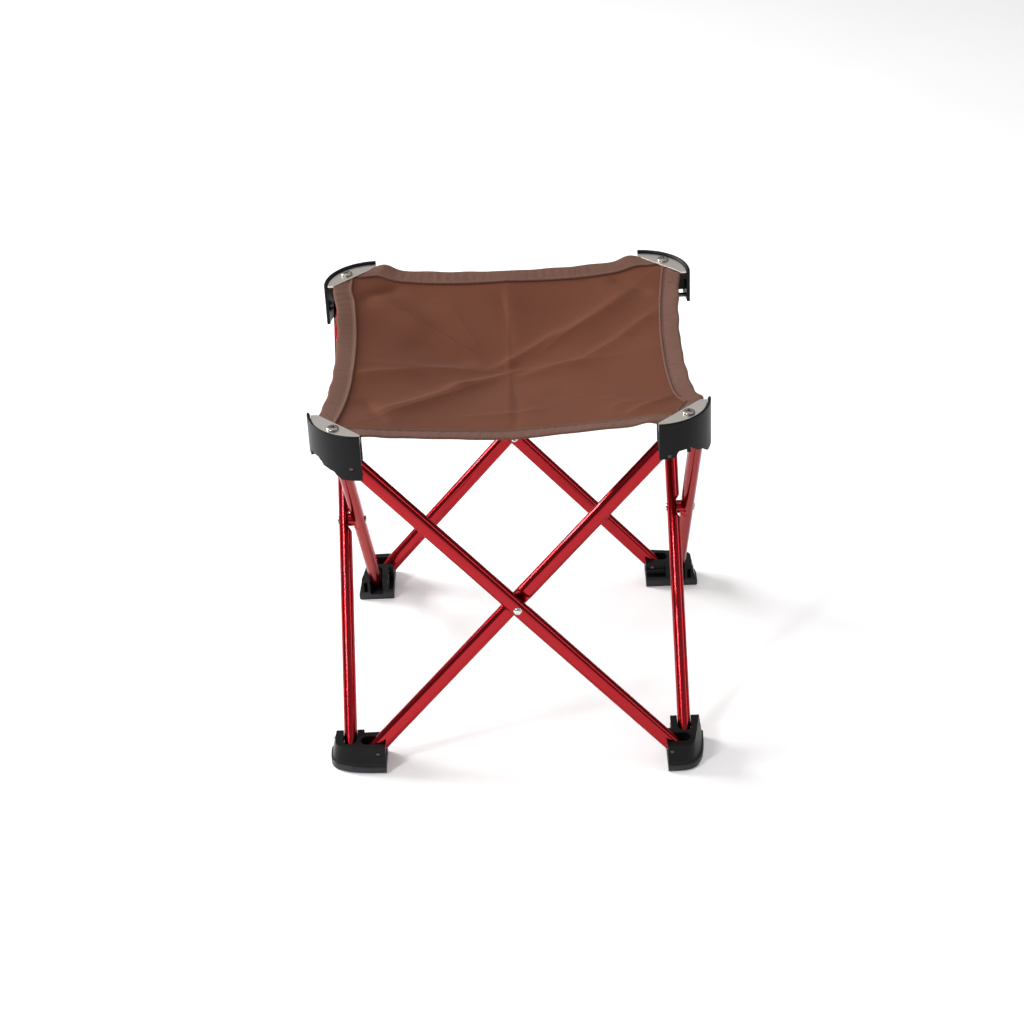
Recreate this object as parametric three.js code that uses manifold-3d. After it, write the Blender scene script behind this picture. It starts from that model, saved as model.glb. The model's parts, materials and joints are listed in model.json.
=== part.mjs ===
// Folding camp stool: four crossed pairs of oval aluminium legs, four moulded feet, four moulded
// corner brackets with steel clamp plates, and a canvas seat.
// Millimetres, +Z up. The origin is on the floor at the centre of the stool, which stands open.
// The stool repeats every quarter turn about Z, so one corner and one side are modelled and turned.
import * as THREE from "three";
import { mergeVertices } from "three/addons/utils/BufferGeometryUtils.js";
import Module from "manifold-3d";

const wasm = await Module();
wasm.setup();

// ---- driving dimensions ---------------------------------------------------------------------
const PIN_SPAN = 215; // between the two end pins of one side, open, at the top and at the bottom
const PIN_FLOOR = 15.5; // height of the foot pins
const PIN_RISE = 246.9; // from the foot pins up to the bracket pins
const CORNER = 100; // each corner's closing axis lies at (-CORNER, -CORNER) for the first corner
const PLANE_OUT = 28.5; // from the closing axis to the outer leg's middle plane
const PLANE_IN = 18.3; // from the closing axis to the inner leg's middle plane
const TUBE = { width: 12.2, thick: 9.4, wall: 1.1, past: 6 }; // past: length beyond each end pin
const PINCH = { depth: 2.6, radius: 6.6, solid: 9 }; // pressed flat round the middle rivet
const RIVET = { shank: 2, head: 3.1, dome: 1.7, hole: 2.3 };
const SPACER = { radius: 4.9, gap: 0.3 };
const PIN = { radius: 1.5, hole: 1.8, head: 2.3, headLength: 0.8 };
const GAP = 0.3; // between pieces that touch on the real stool
const CUT = 0.6; // the fittings stop this far short of the planes where they meet when folded
const FOOT = { height: 20.3, sole: 5.5, slotFloor: 4.5, slotWidth: 10.2 };
const RING = { outer: 38.5, inner: 36.1, top: 287.2 }; // quarter-round wall of a corner bracket
const SHELF = { bottom: 279, top: 282.4 };
const PLATE = { radius: 35.3, chord: 22.4, bottom: 283.7, top: 285.2 };
const SCREW = { u: -19.4, v: -22, head: 4.3, height: 2, shank: 1.9, hole: 2.3, length: 9 };
const SEAT = { thick: 1.6, centre: 258, middleOut: 123.5, crease: 0.4, top: 283.2 };
// Height of the seat's edge at the middle of each side: the front edge hangs lowest.
const EDGE_MIDDLE = { front: 272, right: 276, back: 280, left: 276 };

const PIN_TOP = PIN_FLOOR + PIN_RISE;
const LEG_LENGTH = Math.hypot(PIN_SPAN, PIN_RISE);
const LEAN = Math.atan2(PIN_SPAN, PIN_RISE);
const PIN_BACK = PIN_SPAN / 2 - CORNER; // the end pins stand this far outside the closing axis

const COLOURS = {
  tube: new THREE.MeshStandardMaterial({ color: 0xa3121c, roughness: 0.22, metalness: 0.85 }),
  black: new THREE.MeshStandardMaterial({ color: 0x1b1b1d, roughness: 0.55, metalness: 0 }),
  steel: new THREE.MeshStandardMaterial({ color: 0xc9c4b8, roughness: 0.3, metalness: 1 }),
  canvas: new THREE.MeshStandardMaterial({ color: 0x6f4030, roughness: 0.9, metalness: 0 }),
};

// ---- solids and booleans --------------------------------------------------------------------
function solid(geometry) {
  const bare = geometry.clone();
  bare.deleteAttribute("normal");
  bare.deleteAttribute("uv");
  const merged = mergeVertices(bare, 1e-4);
  return new wasm.Manifold(new wasm.Mesh({
    numProp: 3,
    vertProperties: new Float32Array(merged.attributes.position.array),
    triVerts: new Uint32Array(merged.index.array),
  }));
}

function geometryOf(manifold) {
  const mesh = manifold.getMesh();
  const geometry = new THREE.BufferGeometry();
  geometry.setAttribute("position", new THREE.BufferAttribute(new Float32Array(mesh.vertProperties), 3));
  geometry.setIndex(new THREE.BufferAttribute(new Uint32Array(mesh.triVerts), 1));
  const flat = geometry.toNonIndexed();
  flat.computeVertexNormals();
  return flat;
}

// A straight prism of an outline given as [x, y] points, from z = low to z = high.
function prism(points, low, high) {
  const shape = new THREE.Shape(points.map(([x, y]) => new THREE.Vector2(x, y)));
  const geometry = new THREE.ExtrudeGeometry(shape, { depth: high - low, bevelEnabled: false });
  geometry.translate(0, 0, low);
  return solid(geometry);
}

function block(x0, x1, y0, y1, z0, z1) {
  const geometry = new THREE.BoxGeometry(x1 - x0, y1 - y0, z1 - z0);
  geometry.translate((x0 + x1) / 2, (y0 + y1) / 2, (z0 + z1) / 2);
  return solid(geometry);
}

// A round rod from one point to another.
function rod(from, to, radius, sides = 12) {
  const a = new THREE.Vector3(...from);
  const b = new THREE.Vector3(...to);
  const geometry = new THREE.CylinderGeometry(radius, radius, a.distanceTo(b), sides);
  const turn = new THREE.Quaternion().setFromUnitVectors(
    new THREE.Vector3(0, 1, 0), b.clone().sub(a).normalize());
  geometry.applyQuaternion(turn);
  geometry.translate((a.x + b.x) / 2, (a.y + b.y) / 2, (a.z + b.z) / 2);
  return solid(geometry);
}

// A turned profile of [radius, height] points that starts and ends on the axis, placed with its
// axis from `at` along `along`.
function turned(profile, at, along, sides = 14) {
  const geometry = new THREE.LatheGeometry(profile.map(([r, h]) => new THREE.Vector2(r, h)), sides);
  const turn = new THREE.Quaternion().setFromUnitVectors(
    new THREE.Vector3(0, 1, 0), new THREE.Vector3(...along).normalize());
  geometry.applyQuaternion(turn);
  geometry.translate(...at);
  return solid(geometry);
}

// A closed skin through rings of points: each ring has the same count, and the ends are capped.
function loft(rings) {
  const count = rings[0].length;
  const positions = rings.flat(2);
  const index = [];
  for (let r = 0; r + 1 < rings.length; r += 1) {
    for (let i = 0; i < count; i += 1) {
      const a = r * count + i;
      const b = r * count + ((i + 1) % count);
      index.push(a, b, a + count, b, b + count, a + count);
    }
  }
  const cap = (ring, start, flip) => {
    const flat = ring.map(([x, y, z]) => new THREE.Vector3(x, y, z));
    const normal = new THREE.Vector3();
    for (let i = 0; i < count; i += 1) normal.add(flat[i].clone().cross(flat[(i + 1) % count]));
    normal.normalize();
    const side = new THREE.Vector3(0.31, 0.87, 0.38).cross(normal).normalize();
    const up = normal.clone().cross(side);
    const outline = flat.map((p) => new THREE.Vector2(p.dot(side), p.dot(up)));
    for (const [a, b, c] of THREE.ShapeUtils.triangulateShape(outline, [])) {
      if (flip) index.push(start + a, start + c, start + b);
      else index.push(start + a, start + b, start + c);
    }
  };
  cap(rings[0], 0, true);
  cap(rings[rings.length - 1], (rings.length - 1) * count, false);
  // Rings may run either way round: turn the skin outwards when it comes out inside out.
  let volume = 0;
  const at = (i) => new THREE.Vector3(...positions.slice(3 * i, 3 * i + 3));
  for (let i = 0; i < index.length; i += 3) {
    volume += at(index[i]).dot(at(index[i + 1]).cross(at(index[i + 2])));
  }
  if (volume < 0) index.reverse();
  const geometry = new THREE.BufferGeometry();
  geometry.setAttribute("position", new THREE.Float32BufferAttribute(positions, 3));
  geometry.setIndex(index);
  return solid(geometry);
}

const radians = (degrees) => (degrees * Math.PI) / 180;

// ---- one oval leg tube, along its own Z, with its flat faces across Y -------------------------
function ovalOutline(width, thick, sides = 6) {
  const points = [];
  const reach = (width - thick) / 2;
  for (let end = 0; end < 2; end += 1) {
    for (let i = 0; i <= sides; i += 1) {
      const angle = radians(-90 + (180 * i) / sides + 180 * end);
      const x = (end ? -reach : reach) + (thick / 2) * Math.cos(angle);
      points.push([x, (thick / 2) * Math.sin(angle)]);
    }
  }
  return points;
}

// pinchSide is +1 or -1: the flat face that meets the other leg of the pair.
function legTube(pinchSide) {
  const half = LEG_LENGTH / 2 + TUBE.past;
  let body = prism(ovalOutline(TUBE.width, TUBE.thick), -half, half);
  const bore = ovalOutline(TUBE.width - 2 * TUBE.wall, TUBE.thick - 2 * TUBE.wall, 4);
  body = body.subtract(prism(bore, PINCH.solid, half + 1));
  body = body.subtract(prism(bore, -half - 1, -PINCH.solid));
  const face = (pinchSide * TUBE.thick) / 2;
  const floor = face - pinchSide * PINCH.depth;
  body = body.subtract(rod([0, floor, 0], [0, face + pinchSide * 3, 0], PINCH.radius, 20));
  body = body.subtract(rod([0, -TUBE.thick, 0], [0, TUBE.thick, 0], RIVET.hole));
  for (const z of [-LEG_LENGTH / 2, LEG_LENGTH / 2]) {
    body = body.subtract(rod([0, -TUBE.thick, z], [0, TUBE.thick, z], PIN.hole));
  }
  return geometryOf(body);
}

// ---- one moulded foot, in the first corner, measured from the closing axis ---------------------
// The outer leg of the left side stands in the slot along v, the inner leg of the front side in
// the slot along u.
function slotOutline(end, open, middle, width, along) {
  const points = [];
  const r = width / 2;
  for (let i = 0; i <= 6; i += 1) {
    const angle = radians(90 + (180 * i) / 6);
    points.push([end + r + r * Math.cos(angle), middle + r * Math.sin(angle)]);
  }
  points.push([open, middle - r], [open, middle + r]);
  return along === "u" ? points : points.map(([a, b]) => [b, a]).reverse();
}

function footSolid() {
  const sole = [[-43.6, -CUT], [-43.8, -8], [-43.8, -13], [-43, -19.6], [-41.4, -23.2], [-39, -25.8],
    [-35.2, -28], [-29, -30.2], [-22, -31.5], [-14, -32.2], [-CUT, -32.7]];
  const brim = sole.map(([u, v]) => [Math.min(u + 1.2, -CUT), Math.min(v + 1.2, -CUT)]);
  const crown = [[-39, -CUT], [-39.2, -6], [-39.2, -13], [-39.1, -18], [-38.4, -21], [-36.9, -22.9],
    [-34, -24.2], [-28.6, -25.3], [-21, -26.6], [-13, -27.9], [-CUT, -29.7]];
  const inner = (ring) => [[-CUT, -CUT], ...ring];
  const level = (ring, z) => inner(ring).map(([u, v]) => [u, v, z]);
  let foot = loft([level(sole, 1), level(sole, FOOT.sole), level(brim, FOOT.sole + 0.9),
    level(crown, FOOT.height)]);
  const tread = sole.map(([u, v]) => [Math.min(u + 0.8, -CUT), Math.min(v + 0.8, -CUT)]);
  foot = foot.add(loft([level(tread, 0), level(sole, 1.05)]));
  // The inner corner between the two slots is open down to a low web.
  foot = foot.subtract(block(-18.2, 1, -8.2, 1, 9, 30));
  // Slots for the two legs, each with a round blind end and open towards the stool's middle.
  foot = foot.subtract(prism(
    slotOutline(-20.4, 2, -PLANE_IN, FOOT.slotWidth, "u"), FOOT.slotFloor, 40));
  foot = foot.subtract(prism(
    slotOutline(-22.3, 2, -PLANE_OUT, FOOT.slotWidth, "v"), FOOT.slotFloor, 40));
  // Moulded pockets that lighten the inner faces.
  foot = foot.subtract(block(-38.4, -35.6, -12, 1, 7, 15.5));
  foot = foot.subtract(block(-12, 1, -28.6, -25.4, 7, 16));
  // Pin holes: along x for the left side's leg, along y for the front side's leg.
  foot = foot.subtract(rod([-50, -PIN_BACK, PIN_FLOOR], [1, -PIN_BACK, PIN_FLOOR], PIN.hole));
  foot = foot.subtract(rod([-PIN_BACK, -50, PIN_FLOOR], [-PIN_BACK, 1, PIN_FLOOR], PIN.hole));
  return foot;
}

// ---- one moulded corner bracket, in the first corner -------------------------------------------
// Wall bottom height at an angle about the closing axis: a deep lug at the front end for the outer
// leg, a shallower lug at the left end for the inner leg, and a raised middle.
const WALL_BOTTOM = [[181, 260], [198, 260], [202, 264.6], [217, 264.6], [222, 262], [226, 259.8],
  [238, 258], [243, 255], [247, 253], [269, 253]];

function wallBottom(angle) {
  for (let i = 0; i + 1 < WALL_BOTTOM.length; i += 1) {
    const [a0, z0] = WALL_BOTTOM[i];
    const [a1, z1] = WALL_BOTTOM[i + 1];
    if (angle <= a1) return z0 + ((z1 - z0) * (angle - a0)) / (a1 - a0);
  }
  return WALL_BOTTOM[WALL_BOTTOM.length - 1][1];
}

function arc(radius, from, to, steps) {
  const points = [];
  for (let i = 0; i <= steps; i += 1) {
    const angle = radians(from + ((to - from) * i) / steps);
    points.push([radius * Math.cos(angle), radius * Math.sin(angle)]);
  }
  return points;
}

function bracketSolid() {
  const start = 180 + (CUT / RING.inner) * 57.3;
  const end = 270 - (CUT / RING.inner) * 57.3;
  const angles = [start, ...WALL_BOTTOM.slice(1, -1).map(([a]) => a), end];
  const dense = [];
  for (let i = 0; i + 1 < angles.length; i += 1) {
    const steps = Math.max(1, Math.round((angles[i + 1] - angles[i]) / 6));
    for (let j = 0; j < steps; j += 1) dense.push(angles[i] + ((angles[i + 1] - angles[i]) * j) / steps);
  }
  dense.push(end);
  const wall = loft(dense.map((degrees) => {
    const c = Math.cos(radians(degrees));
    const s = Math.sin(radians(degrees));
    const low = wallBottom(degrees);
    const lip = 1;
    return [[RING.inner * c, RING.inner * s, low], [RING.inner * c, RING.inner * s, RING.top],
      [(RING.outer - lip) * c, (RING.outer - lip) * s, RING.top],
      [RING.outer * c, RING.outer * s, RING.top - lip], [RING.outer * c, RING.outer * s, low]];
  }));
  const shelfLine = -(PLATE.chord - 2) * Math.SQRT2;
  const shelf = prism([...arc(RING.inner + 0.6, start + 0.2, end - 0.2, 14),
    [-CUT, shelfLine + CUT], [shelfLine + CUT, -CUT]], SHELF.bottom, SHELF.top);
  let bracket = wall.add(shelf);
  const slot = FOOT.slotWidth / 2;
  // Outer leg's inner lug, at the front end.
  bracket = bracket.add(block(-17, -CUT, -PLANE_OUT + slot, -PLANE_OUT + slot + 2.6, 252.4, SHELF.top - 0.4));
  // Inner leg's two lugs, at the left end.
  bracket = bracket.add(block(-PLANE_IN - slot - 2.6, -PLANE_IN - slot, -17, -CUT, 260, SHELF.top - 0.4));
  bracket = bracket.add(block(-PLANE_IN + slot, -PLANE_IN + slot + 2.6, -17, -CUT, 256, SHELF.top - 0.4));
  // A web joins the lugs under the shelf.
  bracket = bracket.add(block(-PLANE_IN - slot - 2.6, -PLANE_IN + slot + 2.6, -20, -16.4, 262, SHELF.top - 0.4));
  bracket = bracket.add(block(-28, -24.6, -12, -9, 266, SHELF.top - 0.4)
    .add(block(-35.9, -25, -12, -9.6, 266, SHELF.top - 0.4)));
  // Everything on the stool's side of the clamp plate stays clear under the sloping canvas.
  const edge = -PLATE.chord * Math.SQRT2;
  bracket = bracket.subtract(loft([
    [[edge + 60, -60, 281.6], [40, 24, 270.5], [40, 24, 300], [edge + 60, -60, 300]],
    [[-60, edge + 60, 281.6], [24, 40, 270.5], [24, 40, 300], [-60, edge + 60, 300]],
  ]));
  bracket = bracket.subtract(rod([-PIN_BACK, -50, PIN_TOP], [-PIN_BACK, -18, PIN_TOP], PIN.hole));
  bracket = bracket.subtract(rod([-50, -PIN_BACK, PIN_TOP], [-5, -PIN_BACK, PIN_TOP], PIN.hole));
  bracket = bracket.subtract(rod([SCREW.u, SCREW.v, 270], [SCREW.u, SCREW.v, 290], SCREW.hole));
  return bracket;
}

// ---- the clamp plate: a steel segment on the shelf, with a straight edge towards the seat -------
function plateSolid() {
  const disc = prism(arc(PLATE.radius, 178, 272, 20).concat([[0, 0]]), PLATE.bottom, PLATE.top);
  const line = -PLATE.chord * Math.SQRT2;
  const keep = prism([[-CUT, line + CUT], [line + CUT, -CUT], [-60, -CUT], [-60, -60], [-CUT, -60]],
    PLATE.bottom - 1, PLATE.top + 1);
  const plate = disc.intersect(keep);
  return plate.subtract(rod([SCREW.u, SCREW.v, 270], [SCREW.u, SCREW.v, 290], SCREW.hole));
}

function screwSolid() {
  const top = PLATE.top + 0.25;
  const { head, height, shank, length } = SCREW;
  const profile = [[0, top - length], [shank, top - length], [shank, top], [head, top],
    [head, top + 0.7], [head * 0.8, top + 1.6], [head * 0.34, top + height], [head * 0.22, top + 1],
    [0, top + 0.9]];
  return turned(profile, [SCREW.u, SCREW.v, 0], [0, 0, 1], 16);
}

// A hinge pin with a low head at its outer end.
function pinSolid(from, to) {
  const a = new THREE.Vector3(...from);
  const length = a.distanceTo(new THREE.Vector3(...to));
  const along = new THREE.Vector3(...to).sub(a).toArray();
  const { radius, head, headLength } = PIN;
  return turned([[0, -headLength], [head * 0.7, -headLength], [head, -headLength * 0.45], [head, -GAP],
    [radius, -GAP], [radius, length - 0.4], [radius - 0.4, length], [0, length]], from, along, 10);
}

// The middle rivet of a crossed pair, through both legs, with a domed head on each side.
function rivetSolid(outerFace, innerFace) {
  const { shank, head, dome } = RIVET;
  const span = innerFace - outerFace;
  return turned([[0, -dome - GAP], [head * 0.6, -dome * 0.82 - GAP], [head, -dome * 0.25 - GAP],
    [head, -GAP], [shank, -GAP], [shank, span + GAP], [head * 0.9, span + GAP],
    [head * 0.7, span + GAP + 1], [0, span + GAP + 1.3]], [0, outerFace, 0], [0, 1, 0]);
}

function spacerSolid(from, to) {
  return rod([0, from, 0], [0, to, 0], SPACER.radius, 20)
    .subtract(rod([0, from - 1, 0], [0, to + 1, 0], RIVET.hole));
}

// ---- the canvas seat: twelve flat facets, creased where the real seat folds ---------------------
// In each corner a middle facet runs from the clamp plate to the seat's centre, with a side facet
// on each side of it. The facets stop a little short of each other at the creases.
const CHORD_END = [-CUT - CORNER, -PLATE.chord * Math.SQRT2 + CUT + 0.6 - CORNER];

function facet(points, holdback) {
  // points: three or four [x, y, z] corners in order, all in one plane; each edge moves inwards.
  const p = points.map((q) => new THREE.Vector3(...q));
  const normal = p[1].clone().sub(p[0]).cross(p[2].clone().sub(p[0])).normalize();
  const centre = p.reduce((sum, q) => sum.add(q), new THREE.Vector3()).divideScalar(p.length);
  const lines = p.map((a, i) => {
    const b = p[(i + 1) % p.length];
    const along = b.clone().sub(a).normalize();
    const inward = normal.clone().cross(along).normalize();
    if (inward.dot(centre.clone().sub(a)) < 0) inward.negate();
    return { point: a.clone().addScaledVector(inward, holdback[i]), along };
  });
  const corners = lines.map((line, i) => {
    const before = lines[(i + lines.length - 1) % lines.length];
    // Where this edge meets the edge before it, both in the facet's plane.
    const across = normal.clone().cross(before.along);
    const t = before.point.clone().sub(line.point).dot(across) / line.along.dot(across);
    return line.point.clone().addScaledVector(line.along, t);
  });
  const half = normal.multiplyScalar(SEAT.thick / 2);
  return loft([corners.map((q) => q.clone().sub(half).toArray()),
    corners.map((q) => q.clone().add(half).toArray())]);
}

function seatFacets(sideAfter, sideBefore) {
  const crease = SEAT.crease;
  const o = [0, 0, SEAT.centre];
  const n = [CHORD_END[0], CHORD_END[1], SEAT.top];
  const w = [CHORD_END[1], CHORD_END[0], SEAT.top];
  const after = [0, -SEAT.middleOut, EDGE_MIDDLE[sideAfter]];
  const before = [-SEAT.middleOut, 0, EDGE_MIDDLE[sideBefore]];
  return {
    corner: facet([w, n, o], [0.3, crease, crease]),
    after: facet([n, after, o], [0, crease, crease]),
    before: facet([before, w, o], [0, crease, crease]),
  };
}

// ---- assembly ----------------------------------------------------------------------------------
const stool = new THREE.Group();
const SIDES = ["front", "right", "back", "left"];
const CORNERS = ["fl", "fr", "br", "bl"];

function add(group, name, manifold, material) {
  const geometry = manifold.isBufferGeometry ? manifold : geometryOf(manifold);
  const mesh = new THREE.Mesh(geometry, material);
  mesh.name = name;
  group.add(mesh);
  return mesh;
}

const footShape = geometryOf(footSolid());
const bracketShape = geometryOf(bracketSolid());
const plateShape = geometryOf(plateSolid());
const screwShape = geometryOf(screwSolid());
const outerTube = legTube(1);
const innerTube = legTube(-1);

CORNERS.forEach((corner, k) => {
  const quarter = new THREE.Group();
  quarter.rotation.z = (k * Math.PI) / 2;
  const fitting = new THREE.Group();
  fitting.position.set(-CORNER, -CORNER, 0);
  quarter.add(fitting);
  add(fitting, `foot_${corner}`, footShape, COLOURS.black);
  add(fitting, `bracket_${corner}`, bracketShape, COLOURS.black);
  add(fitting, `clamp_plate_${corner}`, plateShape, COLOURS.steel);
  add(fitting, `plate_screw_${corner}`, screwShape, COLOURS.steel);
  // Hinge pins: "own" holds the leg of the side that starts at this corner, "next" the other one.
  const wallOwn = Math.sqrt(RING.outer ** 2 - PIN_BACK ** 2) + 0.35;
  add(fitting, `bracket_pin_outer_${corner}`,
    pinSolid([-PIN_BACK, -wallOwn, PIN_TOP], [-PIN_BACK, -21.2, PIN_TOP]), COLOURS.steel);
  add(fitting, `bracket_pin_inner_${corner}`,
    pinSolid([-wallOwn, -PIN_BACK, PIN_TOP], [-11, -PIN_BACK, PIN_TOP]), COLOURS.steel);
  add(fitting, `foot_pin_inner_${corner}`,
    pinSolid([-PIN_BACK, -30.6, PIN_FLOOR], [-PIN_BACK, -9, PIN_FLOOR]), COLOURS.steel);
  add(fitting, `foot_pin_outer_${corner}`,
    pinSolid([-41.3, -PIN_BACK, PIN_FLOOR], [-19, -PIN_BACK, PIN_FLOOR]), COLOURS.steel);
  for (const [part, shape] of Object.entries(seatFacets(SIDES[k], SIDES[(k + 3) % 4]))) {
    add(quarter, `seat_${part}_${corner}`, shape, COLOURS.canvas);
  }
  stool.add(quarter);
});

SIDES.forEach((side, k) => {
  const quarter = new THREE.Group();
  quarter.rotation.z = (k * Math.PI) / 2;
  const middle = PIN_FLOOR + PIN_RISE / 2;
  for (const [which, plane, lean, tube] of [
    ["outer", CORNER + PLANE_OUT, -LEAN, outerTube], ["inner", CORNER + PLANE_IN, LEAN, innerTube]]) {
    const leg = add(quarter, `leg_${which}_${side}`, tube, COLOURS.tube);
    leg.position.set(0, -plane, middle);
    leg.rotation.y = lean;
  }
  const pair = new THREE.Group();
  pair.position.set(0, 0, middle);
  const outerFace = -(CORNER + PLANE_OUT) - TUBE.thick / 2;
  const innerFace = -(CORNER + PLANE_IN) + TUBE.thick / 2;
  add(pair, `rivet_${side}`, rivetSolid(outerFace, innerFace), COLOURS.steel);
  const from = -(CORNER + PLANE_OUT) + TUBE.thick / 2 - PINCH.depth + SPACER.gap;
  const to = -(CORNER + PLANE_IN) - TUBE.thick / 2 + PINCH.depth - SPACER.gap;
  add(pair, `spacer_${side}`, spacerSolid(from, to), COLOURS.tube);
  quarter.add(pair);
  stool.add(quarter);
});

export default stool;
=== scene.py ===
# %% [markdown]
# # A folding camp stool
# Four crossed pairs of red oval tubes stand in black moulded feet and carry black corner brackets.
# A square brown canvas seat is clamped to each bracket under a small steel plate.
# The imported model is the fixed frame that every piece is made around, in metres.

# %% The frame
import json
import math
import bmesh
import bpy
import numpy as np
from mathutils import Matrix, Vector


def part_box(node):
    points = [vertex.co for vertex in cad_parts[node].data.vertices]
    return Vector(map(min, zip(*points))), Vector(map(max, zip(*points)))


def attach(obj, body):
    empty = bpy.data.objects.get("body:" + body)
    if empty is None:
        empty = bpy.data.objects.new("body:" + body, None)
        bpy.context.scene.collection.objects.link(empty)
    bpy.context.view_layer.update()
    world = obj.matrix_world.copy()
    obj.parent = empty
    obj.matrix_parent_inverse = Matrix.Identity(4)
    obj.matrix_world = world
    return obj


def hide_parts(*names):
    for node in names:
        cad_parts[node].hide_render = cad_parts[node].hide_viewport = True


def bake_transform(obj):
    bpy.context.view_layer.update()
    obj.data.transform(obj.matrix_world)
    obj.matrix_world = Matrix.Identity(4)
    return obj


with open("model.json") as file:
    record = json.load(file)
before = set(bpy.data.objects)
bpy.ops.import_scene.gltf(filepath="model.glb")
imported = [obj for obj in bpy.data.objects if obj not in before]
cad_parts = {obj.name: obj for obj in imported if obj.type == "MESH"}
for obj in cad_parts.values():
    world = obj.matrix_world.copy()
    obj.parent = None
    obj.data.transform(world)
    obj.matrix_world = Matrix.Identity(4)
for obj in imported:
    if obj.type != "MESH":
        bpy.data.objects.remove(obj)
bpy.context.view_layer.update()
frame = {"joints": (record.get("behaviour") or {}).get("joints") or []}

# %% [markdown]
# ## Measures from the frame
# The stool repeats every quarter turn, so one corner and one side are enough. Pivots come from the
# joints, and the sizes of fittings from the boxes of their solids. `MM` keeps small sizes readable.

# %% Measures
MM = 0.001
CORNERS = ["fl", "fr", "br", "bl"]
SIDES = ["front", "right", "back", "left"]
joints = {joint["name"]: joint for joint in frame["joints"]}
foot_pivot = Vector(joints["fold"]["pos_m"])
bracket_pivot = Vector(joints["bracket_fl_hinge"]["pos_m"])
HALF_SPAN = -foot_pivot.x                 # from the stool's middle to an end pin, along a side
INNER_OUT, OUTER_OUT = -foot_pivot.y, -bracket_pivot.y   # the middle planes of the two legs
PIN_FLOOR, PIN_TOP = foot_pivot.z, bracket_pivot.z
CLOSING = 100 * MM                        # the corner's closing axis, where corners meet when folded
PIN_BACK = HALF_SPAN - CLOSING
plate_low, plate_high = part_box("clamp_plate_fl")
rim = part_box("bracket_fl")[1].z
foot_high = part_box("foot_fl")[1].z
print("pins", round(PIN_FLOOR, 4), round(PIN_TOP, 4), "plate", round(plate_low.z, 4), round(plate_high.z, 4))

# %% [markdown]
# ## Camera
# The camera comes first, because it decides how much detail shows. It stands in front, about thirty
# degrees above the floor, and is rolled a little, as a hand-held view is.

# %% Camera
AZIMUTH, ELEVATION, ROLL = math.radians(0.89), math.radians(31.27), math.radians(-2.77)
DISTANCE, LOOK_AT = 1.80072, Vector((0, 0, 0.13896))
back = Vector((math.sin(AZIMUTH) * math.cos(ELEVATION), -math.cos(AZIMUTH) * math.cos(ELEVATION),
               math.sin(ELEVATION)))
level_right = (-back).cross(Vector((0, 0, 1))).normalized()
level_up = level_right.cross(-back)
right = level_right * math.cos(ROLL) + level_up * math.sin(ROLL)
up = -level_right * math.sin(ROLL) + level_up * math.cos(ROLL)
camera = bpy.data.objects.new("camera", bpy.data.cameras.new("camera"))
bpy.context.scene.collection.objects.link(camera)
camera.matrix_world = Matrix.Translation(LOOK_AT + back * DISTANCE) @ Matrix(
    (right, up, back)).transposed().to_4x4()
camera.data.lens, camera.data.sensor_width = 84.21, 36
camera.data.shift_x, camera.data.shift_y = -0.0039, 0.00095
camera.data.clip_start, camera.data.clip_end = 0.05, 20
bpy.context.scene.camera = camera
print("camera", [round(v, 3) for v in camera.location])

# %% [markdown]
# ## Helpers for making meshes
# A loft joins rings of points into a closed skin. `settled` turns a piece's modifiers into plain
# mesh. `carve` cuts or joins with booleans, and `softened` rounds edges as a mould or a file does.

# %% Mesh helpers
def piece_from(name, points, faces):
    mesh = bpy.data.meshes.new(name)
    mesh.from_pydata([tuple(p) for p in points], [], faces)
    mesh.update()
    piece = bpy.data.objects.new(name, mesh)
    bpy.context.scene.collection.objects.link(piece)
    return piece


def outward(piece):
    """Merges doubled points and turns the faces outwards."""
    work = bmesh.new()
    work.from_mesh(piece.data)
    bmesh.ops.remove_doubles(work, verts=work.verts, dist=1e-6)
    bmesh.ops.recalc_face_normals(work, faces=work.faces)
    work.to_mesh(piece.data)
    work.free()
    return piece


def settled(piece):
    graph = bpy.context.evaluated_depsgraph_get()
    mesh = bpy.data.meshes.new_from_object(piece.evaluated_get(graph))
    piece.modifiers.clear()
    piece.data = mesh
    return piece


def loft(name, rings):
    count, points = len(rings[0]), [p for ring in rings for p in ring]
    faces = [(r * count + i, r * count + (i + 1) % count, (r + 1) * count + (i + 1) % count,
              (r + 1) * count + i) for r in range(len(rings) - 1) for i in range(count)]
    faces += [tuple(range(count))[::-1], tuple(range(len(points) - count, len(points)))]
    return outward(piece_from(name, points, faces))


def prism(name, outline, low, high):
    return loft(name, [[(x, y, z) for x, y in outline] for z in (low, high)])


def block(name, low, high):
    (x0, y0, z0), (x1, y1, z1) = low, high
    return prism(name, [(x0, y0), (x1, y0), (x1, y1), (x0, y1)], z0, z1)


def turned(name, profile, at, along, sides=24):
    """A lathe shape: [radius, height] pairs from one end of the axis to the other."""
    turn = Vector(along).normalized().to_track_quat("Z", "Y").to_matrix()
    points = [Vector(at) + turn @ Vector((0, 0, profile[0][1]))]
    for radius, height in profile[1:-1]:
        for i in range(sides):
            angle = 2 * math.pi * i / sides
            points.append(Vector(at) + turn @ Vector(
                (radius * math.cos(angle), radius * math.sin(angle), height)))
    points.append(Vector(at) + turn @ Vector((0, 0, profile[-1][1])))
    rings = len(profile) - 2
    faces = [(0, 1 + (i + 1) % sides, 1 + i) for i in range(sides)]
    for r in range(rings - 1):
        a, b = 1 + r * sides, 1 + (r + 1) * sides
        faces += [(a + i, a + (i + 1) % sides, b + (i + 1) % sides, b + i) for i in range(sides)]
    last = 1 + (rings - 1) * sides
    faces += [(last + i, last + (i + 1) % sides, len(points) - 1) for i in range(sides)]
    return outward(piece_from(name, points, faces))


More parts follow.
